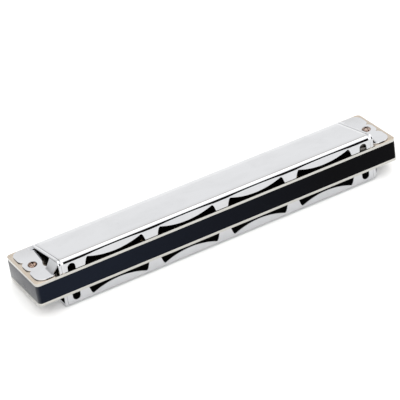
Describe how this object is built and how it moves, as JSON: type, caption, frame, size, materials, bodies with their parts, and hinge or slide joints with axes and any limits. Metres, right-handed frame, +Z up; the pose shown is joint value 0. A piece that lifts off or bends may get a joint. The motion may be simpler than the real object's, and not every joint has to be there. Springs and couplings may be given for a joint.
{
  "type": "harmonica",
  "caption": "Tremolo harmonica with a slotted comb between two brass reed plates and two bent metal covers with sound slots along the back.",
  "frame": {"origin": "middle of the footprint, on the surface that the lower cover rests on", "axes": "+X along the row of holes from the treble end to the bass end, +Y towards the mouthpiece, -Y the open back with its sound slots, +Z up; the comb leans forward by the slope of the lower cover"},
  "size_m": [0.178, 0.0314, 0.0221],
  "materials": {
    "comb_plastic": "satin moulded",
    "plate_brass": "pale rolled",
    "reed_brass": "brushed",
    "rivet_brass": "pressed",
    "cover_chrome": "polished",
    "screw_brass": "polished"
  },
  "bodies": {
    "harmonica": {"comb": "comb_plastic", "upper_reed_plate": "plate_brass", "lower_reed_plate": "plate_brass", "upper_reed_pads": "reed_brass", "lower_reed_pads": "reed_brass", "upper_reed_rivets": "rivet_brass", "lower_reed_rivets": "rivet_brass", "upper_cover": "cover_chrome", "lower_cover": "cover_chrome", "cover_screws": "screw_brass", "plate_nails": "rivet_brass"},
    "upper_reed_01_tongue": {"upper_reed_01": "reed_brass"},
    "upper_reed_02_tongue": {"upper_reed_02": "reed_brass"},
    "upper_reed_03_tongue": {"upper_reed_03": "reed_brass"},
    "upper_reed_04_tongue": {"upper_reed_04": "reed_brass"},
    "upper_reed_05_tongue": {"upper_reed_05": "reed_brass"},
    "upper_reed_06_tongue": {"upper_reed_06": "reed_brass"},
    "upper_reed_07_tongue": {"upper_reed_07": "reed_brass"},
    "upper_reed_08_tongue": {"upper_reed_08": "reed_brass"},
    "upper_reed_09_tongue": {"upper_reed_09": "reed_brass"},
    "upper_reed_10_tongue": {"upper_reed_10": "reed_brass"},
    "upper_reed_11_tongue": {"upper_reed_11": "reed_brass"},
    "upper_reed_12_tongue": {"upper_reed_12": "reed_brass"},
    "upper_reed_13_tongue": {"upper_reed_13": "reed_brass"},
    "upper_reed_14_tongue": {"upper_reed_14": "reed_brass"},
    "upper_reed_15_tongue": {"upper_reed_15": "reed_brass"},
    "upper_reed_16_tongue": {"upper_reed_16": "reed_brass"},
    "upper_reed_17_tongue": {"upper_reed_17": "reed_brass"},
    "upper_reed_18_tongue": {"upper_reed_18": "reed_brass"},
    "upper_reed_19_tongue": {"upper_reed_19": "reed_brass"},
    "upper_reed_20_tongue": {"upper_reed_20": "reed_brass"},
    "upper_reed_21_tongue": {"upper_reed_21": "reed_brass"},
    "upper_reed_22_tongue": {"upper_reed_22": "reed_brass"},
    "upper_reed_23_tongue": {"upper_reed_23": "reed_brass"},
    "upper_reed_24_tongue": {"upper_reed_24": "reed_brass"},
    "lower_reed_01_tongue": {"lower_reed_01": "reed_brass"},
    "lower_reed_02_tongue": {"lower_reed_02": "reed_brass"},
    "lower_reed_03_tongue": {"lower_reed_03": "reed_brass"},
    "lower_reed_04_tongue": {"lower_reed_04": "reed_brass"},
    "lower_reed_05_tongue": {"lower_reed_05": "reed_brass"},
    "lower_reed_06_tongue": {"lower_reed_06": "reed_brass"},
    "lower_reed_07_tongue": {"lower_reed_07": "reed_brass"},
    "lower_reed_08_tongue": {"lower_reed_08": "reed_brass"},
    "lower_reed_09_tongue": {"lower_reed_09": "reed_brass"},
    "lower_reed_10_tongue": {"lower_reed_10": "reed_brass"},
    "lower_reed_11_tongue": {"lower_reed_11": "reed_brass"},
    "lower_reed_12_tongue": {"lower_reed_12": "reed_brass"},
    "lower_reed_13_tongue": {"lower_reed_13": "reed_brass"},
    "lower_reed_14_tongue": {"lower_reed_14": "reed_brass"},
    "lower_reed_15_tongue": {"lower_reed_15": "reed_brass"},
    "lower_reed_16_tongue": {"lower_reed_16": "reed_brass"},
    "lower_reed_17_tongue": {"lower_reed_17": "reed_brass"},
    "lower_reed_18_tongue": {"lower_reed_18": "reed_brass"},
    "lower_reed_19_tongue": {"lower_reed_19": "reed_brass"},
    "lower_reed_20_tongue": {"lower_reed_20": "reed_brass"},
    "lower_reed_21_tongue": {"lower_reed_21": "reed_brass"},
    "lower_reed_22_tongue": {"lower_reed_22": "reed_brass"},
    "lower_reed_23_tongue": {"lower_reed_23": "reed_brass"},
    "lower_reed_24_tongue": {"lower_reed_24": "reed_brass"}
  },
  "joints": [
    {"name": "upper_reed_01_swing", "type": "hinge", "parent": "harmonica", "child": "upper_reed_01_tongue", "pos_m": [-0.0736, 0.0004, 0.01302], "axis": [1, 0, 0], "range_deg": [-3.5, 3.5], "stiffness_Nm_per_rad": 0.0822},
    {"name": "upper_reed_02_swing", "type": "hinge", "parent": "harmonica", "child": "upper_reed_02_tongue", "pos_m": [-0.0672, 0.01003, 0.01289], "axis": [1, 0, 0], "range_deg": [-3.5, 3.5], "stiffness_Nm_per_rad": 0.0795},
    {"name": "upper_reed_03_swing", "type": "hinge", "parent": "harmonica", "child": "upper_reed_03_tongue", "pos_m": [-0.0608, -0.00024, 0.01313], "axis": [1, 0, 0], "range_deg": [-3.5, 3.5], "stiffness_Nm_per_rad": 0.077},
    {"name": "upper_reed_04_swing", "type": "hinge", "parent": "harmonica", "child": "upper_reed_04_tongue", "pos_m": [-0.0544, 0.01003, 0.01289], "axis": [1, 0, 0], "range_deg": [-3.5, 3.5], "stiffness_Nm_per_rad": 0.0746},
    {"name": "upper_reed_05_swing", "type": "hinge", "parent": "harmonica", "child": "upper_reed_05_tongue", "pos_m": [-0.048, -0.00088, 0.01324], "axis": [1, 0, 0], "range_deg": [-3.5, 3.5], "stiffness_Nm_per_rad": 0.0723},
    {"name": "upper_reed_06_swing", "type": "hinge", "parent": "harmonica", "child": "upper_reed_06_tongue", "pos_m": [-0.0416, 0.01003, 0.01289], "axis": [1, 0, 0], "range_deg": [-3.5, 3.5], "stiffness_Nm_per_rad": 0.0702},
    {"name": "upper_reed_07_swing", "type": "hinge", "parent": "harmonica", "child": "upper_reed_07_tongue", "pos_m": [-0.0352, -0.00152, 0.01336], "axis": [1, 0, 0], "range_deg": [-3.5, 3.5], "stiffness_Nm_per_rad": 0.0682},
    {"name": "upper_reed_08_swing", "type": "hinge", "parent": "harmonica", "child": "upper_reed_08_tongue", "pos_m": [-0.0288, 0.01003, 0.01289], "axis": [1, 0, 0], "range_deg": [-3.5, 3.5], "stiffness_Nm_per_rad": 0.0663},
    {"name": "upper_reed_09_swing", "type": "hinge", "parent": "harmonica", "child": "upper_reed_09_tongue", "pos_m": [-0.0224, -0.00217, 0.01347], "axis": [1, 0, 0], "range_deg": [-3.5, 3.5], "stiffness_Nm_per_rad": 0.0645},
    {"name": "upper_reed_10_swing", "type": "hinge", "parent": "harmonica", "child": "upper_reed_10_tongue", "pos_m": [-0.016, 0.01003, 0.01289], "axis": [1, 0, 0], "range_deg": [-3.5, 3.5], "stiffness_Nm_per_rad": 0.0628},
    {"name": "upper_reed_11_swing", "type": "hinge", "parent": "harmonica", "child": "upper_reed_11_tongue", "pos_m": [-0.0096, -0.00281, 0.01358], "axis": [1, 0, 0], "range_deg": [-3.5, 3.5], "stiffness_Nm_per_rad": 0.0612},
    {"name": "upper_reed_12_swing", "type": "hinge", "parent": "harmonica", "child": "upper_reed_12_tongue", "pos_m": [-0.0032, 0.01003, 0.01289], "axis": [1, 0, 0], "range_deg": [-3.5, 3.5], "stiffness_Nm_per_rad": 0.0597},
    {"name": "upper_reed_13_swing", "type": "hinge", "parent": "harmonica", "child": "upper_reed_13_tongue", "pos_m": [0.0032, -0.00345, 0.0137], "axis": [1, 0, 0], "range_deg": [-3.5, 3.5], "stiffness_Nm_per_rad": 0.0582},
    {"name": "upper_reed_14_swing", "type": "hinge", "parent": "harmonica", "child": "upper_reed_14_tongue", "pos_m": [0.0096, 0.01003, 0.01289], "axis": [1, 0, 0], "range_deg": [-3.5, 3.5], "stiffness_Nm_per_rad": 0.0569},
    {"name": "upper_reed_15_swing", "type": "hinge", "parent": "harmonica", "child": "upper_reed_15_tongue", "pos_m": [0.016, -0.00409, 0.01381], "axis": [1, 0, 0], "range_deg": [-3.5, 3.5], "stiffness_Nm_per_rad": 0.0555},
    {"name": "upper_reed_16_swing", "type": "hinge", "parent": "harmonica", "child": "upper_reed_16_tongue", "pos_m": [0.0224, 0.01003, 0.01289], "axis": [1, 0, 0], "range_deg": [-3.5, 3.5], "stiffness_Nm_per_rad": 0.0543},
    {"name": "upper_reed_17_swing", "type": "hinge", "parent": "harmonica", "child": "upper_reed_17_tongue", "pos_m": [0.0288, -0.00474, 0.01392], "axis": [1, 0, 0], "range_deg": [-3.5, 3.5], "stiffness_Nm_per_rad": 0.0531},
    {"name": "upper_reed_18_swing", "type": "hinge", "parent": "harmonica", "child": "upper_reed_18_tongue", "pos_m": [0.0352, 0.01003, 0.01289], "axis": [1, 0, 0], "range_deg": [-3.5, 3.5], "stiffness_Nm_per_rad": 0.0519},
    {"name": "upper_reed_19_swing", "type": "hinge", "parent": "harmonica", "child": "upper_reed_19_tongue", "pos_m": [0.0416, -0.00538, 0.01404], "axis": [1, 0, 0], "range_deg": [-3.5, 3.5], "stiffness_Nm_per_rad": 0.0508},
    {"name": "upper_reed_20_swing", "type": "hinge", "parent": "harmonica", "child": "upper_reed_20_tongue", "pos_m": [0.048, 0.01003, 0.01289], "axis": [1, 0, 0], "range_deg": [-3.5, 3.5], "stiffness_Nm_per_rad": 0.0498},
    {"name": "upper_reed_21_swing", "type": "hinge", "parent": "harmonica", "child": "upper_reed_21_tongue", "pos_m": [0.0544, -0.00602, 0.01415], "axis": [1, 0, 0], "range_deg": [-3.5, 3.5], "stiffness_Nm_per_rad": 0.0488},
    {"name": "upper_reed_22_swing", "type": "hinge", "parent": "harmonica", "child": "upper_reed_22_tongue", "pos_m": [0.0608, 0.01003, 0.01289], "axis": [1, 0, 0], "range_deg": [-3.5, 3.5], "stiffness_Nm_per_rad": 0.0478},
    {"name": "upper_reed_23_swing", "type": "hinge", "parent": "harmonica", "child": "upper_reed_23_tongue", "pos_m": [0.0672, -0.00666, 0.01426], "axis": [1, 0, 0], "range_deg": [-3.5, 3.5], "stiffness_Nm_per_rad": 0.0469},
    {"name": "upper_reed_24_swing", "type": "hinge", "parent": "harmonica", "child": "upper_reed_24_tongue", "pos_m": [0.0736, 0.01003, 0.01289], "axis": [1, 0, 0], "range_deg": [-3.5, 3.5], "stiffness_Nm_per_rad": 0.046},
    {"name": "lower_reed_01_swing", "type": "hinge", "parent": "harmonica", "child": "lower_reed_01_tongue", "pos_m": [-0.0736, -0.001, 0.00509], "axis": [1, 0, 0], "range_deg": [-3.5, 3.5], "stiffness_Nm_per_rad": 0.0822},
    {"name": "lower_reed_02_swing", "type": "hinge", "parent": "harmonica", "child": "lower_reed_02_tongue", "pos_m": [-0.0672, 0.00809, 0.00191], "axis": [1, 0, 0], "range_deg": [-3.5, 3.5], "stiffness_Nm_per_rad": 0.0795},
    {"name": "lower_reed_03_swing", "type": "hinge", "parent": "harmonica", "child": "lower_reed_03_tongue", "pos_m": [-0.0608, -0.00164, 0.0052], "axis": [1, 0, 0], "range_deg": [-3.5, 3.5], "stiffness_Nm_per_rad": 0.077},
    {"name": "lower_reed_04_swing", "type": "hinge", "parent": "harmonica", "child": "lower_reed_04_tongue", "pos_m": [-0.0544, 0.00809, 0.00191], "axis": [1, 0, 0], "range_deg": [-3.5, 3.5], "stiffness_Nm_per_rad": 0.0746},
    {"name": "lower_reed_05_swing", "type": "hinge", "parent": "harmonica", "child": "lower_reed_05_tongue", "pos_m": [-0.048, -0.00228, 0.00531], "axis": [1, 0, 0], "range_deg": [-3.5, 3.5], "stiffness_Nm_per_rad": 0.0723},
    {"name": "lower_reed_06_swing", "type": "hinge", "parent": "harmonica", "child": "lower_reed_06_tongue", "pos_m": [-0.0416, 0.00809, 0.00191], "axis": [1, 0, 0], "range_deg": [-3.5, 3.5], "stiffness_Nm_per_rad": 0.0702},
    {"name": "lower_reed_07_swing", "type": "hinge", "parent": "harmonica", "child": "lower_reed_07_tongue", "pos_m": [-0.0352, -0.00292, 0.00543], "axis": [1, 0, 0], "range_deg": [-3.5, 3.5], "stiffness_Nm_per_rad": 0.0682},
    {"name": "lower_reed_08_swing", "type": "hinge", "parent": "harmonica", "child": "lower_reed_08_tongue", "pos_m": [-0.0288, 0.00809, 0.00191], "axis": [1, 0, 0], "range_deg": [-3.5, 3.5], "stiffness_Nm_per_rad": 0.0663},
    {"name": "lower_reed_09_swing", "type": "hinge", "parent": "harmonica", "child": "lower_reed_09_tongue", "pos_m": [-0.0224, -0.00356, 0.00554], "axis": [1, 0, 0], "range_deg": [-3.5, 3.5], "stiffness_Nm_per_rad": 0.0645},
    {"name": "lower_reed_10_swing", "type": "hinge", "parent": "harmonica", "child": "lower_reed_10_tongue", "pos_m": [-0.016, 0.00809, 0.00191], "axis": [1, 0, 0], "range_deg": [-3.5, 3.5], "stiffness_Nm_per_rad": 0.0628},
    {"name": "lower_reed_11_swing", "type": "hinge", "parent": "harmonica", "child": "lower_reed_11_tongue", "pos_m": [-0.0096, -0.00421, 0.00565], "axis": [1, 0, 0], "range_deg": [-3.5, 3.5], "stiffness_Nm_per_rad": 0.0612},
    {"name": "lower_reed_12_swing", "type": "hinge", "parent": "harmonica", "child": "lower_reed_12_tongue", "pos_m": [-0.0032, 0.00809, 0.00191], "axis": [1, 0, 0], "range_deg": [-3.5, 3.5], "stiffness_Nm_per_rad": 0.0597},
    {"name": "lower_reed_13_swing", "type": "hinge", "parent": "harmonica", "child": "lower_reed_13_tongue", "pos_m": [0.0032, -0.00485, 0.00577], "axis": [1, 0, 0], "range_deg": [-3.5, 3.5], "stiffness_Nm_per_rad": 0.0582},
    {"name": "lower_reed_14_swing", "type": "hinge", "parent": "harmonica", "child": "lower_reed_14_tongue", "pos_m": [0.0096, 0.00809, 0.00191], "axis": [1, 0, 0], "range_deg": [-3.5, 3.5], "stiffness_Nm_per_rad": 0.0569},
    {"name": "lower_reed_15_swing", "type": "hinge", "parent": "harmonica", "child": "lower_reed_15_tongue", "pos_m": [0.016, -0.00549, 0.00588], "axis": [1, 0, 0], "range_deg": [-3.5, 3.5], "stiffness_Nm_per_rad": 0.0555},
    {"name": "lower_reed_16_swing", "type": "hinge", "parent": "harmonica", "child": "lower_reed_16_tongue", "pos_m": [0.0224, 0.00809, 0.00191], "axis": [1, 0, 0], "range_deg": [-3.5, 3.5], "stiffness_Nm_per_rad": 0.0543},
    {"name": "lower_reed_17_swing", "type": "hinge", "parent": "harmonica", "child": "lower_reed_17_tongue", "pos_m": [0.0288, -0.00613, 0.00599], "axis": [1, 0, 0], "range_deg": [-3.5, 3.5], "stiffness_Nm_per_rad": 0.0531},
    {"name": "lower_reed_18_swing", "type": "hinge", "parent": "harmonica", "child": "lower_reed_18_tongue", "pos_m": [0.0352, 0.00809, 0.00191], "axis": [1, 0, 0], "range_deg": [-3.5, 3.5], "stiffness_Nm_per_rad": 0.0519},
    {"name": "lower_reed_19_swing", "type": "hinge", "parent": "harmonica", "child": "lower_reed_19_tongue", "pos_m": [0.0416, -0.00678, 0.00611], "axis": [1, 0, 0], "range_deg": [-3.5, 3.5], "stiffness_Nm_per_rad": 0.0508},
    {"name": "lower_reed_20_swing", "type": "hinge", "parent": "harmonica", "child": "lower_reed_20_tongue", "pos_m": [0.048, 0.00809, 0.00191], "axis": [1, 0, 0], "range_deg": [-3.5, 3.5], "stiffness_Nm_per_rad": 0.0498},
    {"name": "lower_reed_21_swing", "type": "hinge", "parent": "harmonica", "child": "lower_reed_21_tongue", "pos_m": [0.0544, -0.00742, 0.00622], "axis": [1, 0, 0], "range_deg": [-3.5, 3.5], "stiffness_Nm_per_rad": 0.0488},
    {"name": "lower_reed_22_swing", "type": "hinge", "parent": "harmonica", "child": "lower_reed_22_tongue", "pos_m": [0.0608, 0.00809, 0.00191], "axis": [1, 0, 0], "range_deg": [-3.5, 3.5], "stiffness_Nm_per_rad": 0.0478},
    {"name": "lower_reed_23_swing", "type": "hinge", "parent": "harmonica", "child": "lower_reed_23_tongue", "pos_m": [0.0672, -0.00806, 0.00633], "axis": [1, 0, 0], "range_deg": [-3.5, 3.5], "stiffness_Nm_per_rad": 0.0469},
    {"name": "lower_reed_24_swing", "type": "hinge", "parent": "harmonica", "child": "lower_reed_24_tongue", "pos_m": [0.0736, 0.00809, 0.00191], "axis": [1, 0, 0], "range_deg": [-3.5, 3.5], "stiffness_Nm_per_rad": 0.046}
  ]
}
